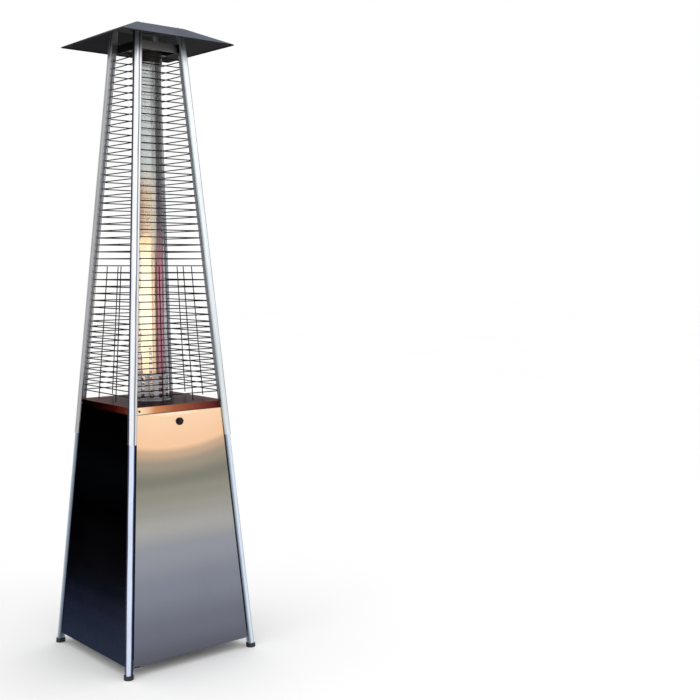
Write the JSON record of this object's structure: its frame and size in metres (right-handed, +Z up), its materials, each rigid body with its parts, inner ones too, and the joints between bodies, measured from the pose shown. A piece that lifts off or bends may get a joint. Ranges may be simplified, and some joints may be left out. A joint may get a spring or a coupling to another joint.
{
  "type": "outdoor patio heater",
  "caption": "Free-standing pyramid gas patio heater: glass flame tube in wire guards above a steel cabinet for the gas cylinder, under a square hood.",
  "frame": {"origin": "on the floor, at the bottom centre of the whole object's box: the leg square's axis is 31.5 mm in front of it, because the wheels stand out at the rear", "axes": "+Z up, -Y towards the front panel with the control knob, +X to the right seen from the front"},
  "size_m": [0.549, 0.612, 2.274],
  "materials": {
    "leg_steel": "satin silver grey",
    "post_aluminium": "anodised satin",
    "foot_rubber": "matt black",
    "panel_steel": "vertical brushed, reflective",
    "deck_steel": "brushed, warm reflections",
    "frame_steel": "plain galvanised",
    "screw_steel": "bright",
    "burner_steel": "heat tinted",
    "electrode_ceramic": "glazed white",
    "fitting_brass": "turned",
    "valve_cast": "die cast grey",
    "gasket_rubber": "heat proof silicone",
    "tube_glass": "clear",
    "knob_plastic": "black",
    "magnet_black": "black",
    "plug_plastic": "black",
    "holder_black": "dark heat proof paint",
    "hood_paint": "charcoal powder coat",
    "guard_wire": "black powder coat",
    "wheel_rubber": "black"
  },
  "bodies": {
    "root": {"axle_caps": "screw_steel", "base_tray": "frame_steel", "burner_cradle": "frame_steel", "burner_head": "burner_steel", "burner_screen": "burner_steel", "catch_bracket": "frame_steel", "cylinder_ring": "frame_steel", "deck": "deck_steel", "door_magnet": "magnet_black", "foot_front_left": "foot_rubber", "foot_front_right": "foot_rubber", "foot_rear_left": "foot_rubber", "foot_rear_right": "foot_rubber", "frame_bolts": "screw_steel", "gas_inlet": "fitting_brass", "glass_tube": "tube_glass", "guard_front": "guard_wire", "guard_left": "guard_wire", "guard_rear": "guard_wire", "guard_right": "guard_wire", "hinge_bracket_lower": "frame_steel", "hinge_bracket_upper": "frame_steel", "hinge_pins": "frame_steel", "hood": "hood_paint", "hood_screws": "screw_steel", "igniter_electrode": "electrode_ceramic", "injector": "fitting_brass", "injector_bracket": "frame_steel", "leg_front_left": "leg_steel", "leg_front_right": "leg_steel", "leg_rear_left": "leg_steel", "leg_rear_right": "leg_steel", "lip_screws": "screw_steel", "panel_left": "panel_steel", "panel_rear": "panel_steel", "panel_right": "panel_steel", "pilot_bracket": "frame_steel", "pilot_burner": "burner_steel", "post_front_left": "post_aluminium", "post_front_right": "post_aluminium", "post_plugs": "plug_plastic", "post_rear_left": "post_aluminium", "post_rear_right": "post_aluminium", "thermocouple": "burner_steel", "tilt_switch": "knob_plastic", "top_plate": "frame_steel", "top_rail": "holder_black", "tube_gasket": "gasket_rubber", "tube_holder": "holder_black", "tube_seat": "burner_steel", "upper_frame": "frame_steel", "valve_body": "valve_cast", "wheel_axle": "frame_steel", "wheel_bracket": "frame_steel"},
    "front_door": {"front_panel": "panel_steel"},
    "stem_slider": {"spring_cup": "screw_steel"},
    "control": {"valve_stem": "screw_steel", "control_knob": "knob_plastic"},
    "wheel_left": {"wheel_left": "wheel_rubber"},
    "wheel_right": {"wheel_right": "wheel_rubber"}
  },
  "joints": [
    {"name": "door_hinge", "type": "hinge", "parent": "root", "child": "front_door", "pos_m": [-0.23955, -0.2921, -0.00113], "axis": [-0.0757, -0.0757, -0.9943], "range_deg": [0, 95]},
    {"name": "knob_push", "type": "slide", "parent": "root", "child": "stem_slider", "axis": [0, 0.9971, -0.0759], "range_m": [0, 0.004], "stiffness_N_per_m": 1500},
    {"name": "knob_turn", "type": "hinge", "parent": "stem_slider", "child": "control", "pos_m": [-0.004, -0.229, 0.86745], "axis": [0, -0.9971, 0.0759], "range_deg": [-90, 90]},
    {"name": "wheel_left_spin", "type": "hinge", "parent": "root", "child": "wheel_left", "pos_m": [-0.17, 0.271, 0.043], "axis": [1, 0, 0], "continuous": true},
    {"name": "wheel_right_spin", "type": "hinge", "parent": "root", "child": "wheel_right", "pos_m": [0.17, 0.271, 0.043], "axis": [1, 0, 0], "continuous": true}
  ]
}
